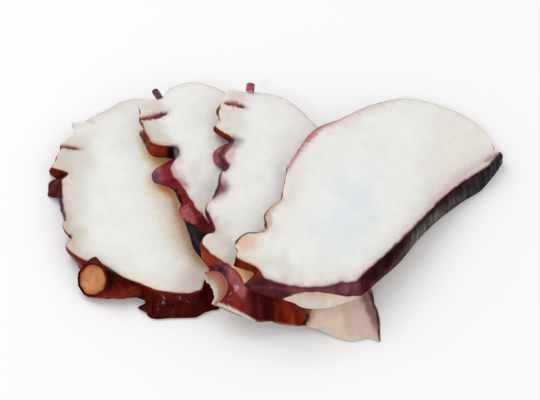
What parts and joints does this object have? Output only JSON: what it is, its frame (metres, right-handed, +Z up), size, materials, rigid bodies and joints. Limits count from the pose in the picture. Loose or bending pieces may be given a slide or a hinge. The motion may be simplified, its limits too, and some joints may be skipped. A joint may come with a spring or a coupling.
{
  "type": "cooked octopus slices",
  "caption": "Boiled octopus arm cut on the bias into thick white slices with dark skin and cut suckers, fanned out as one serving.",
  "frame": {"origin": "bottom centre of the fan's bounding box, on the plane it rests on", "axes": "+X along the fan from the first slice to the last, +Y towards its back, +Z up"},
  "size_m": [0.1143, 0.0734, 0.0185],
  "materials": {
    "octopus_flesh": "moist cut octopus flesh, creamy white, with purple-brown to near-black glossy skin round the sides"
  },
  "bodies": {
    "root": {"slice_1": "octopus_flesh", "slice_2": "octopus_flesh", "slice_3": "octopus_flesh", "slice_4": "octopus_flesh"}
  },
  "joints": []
}
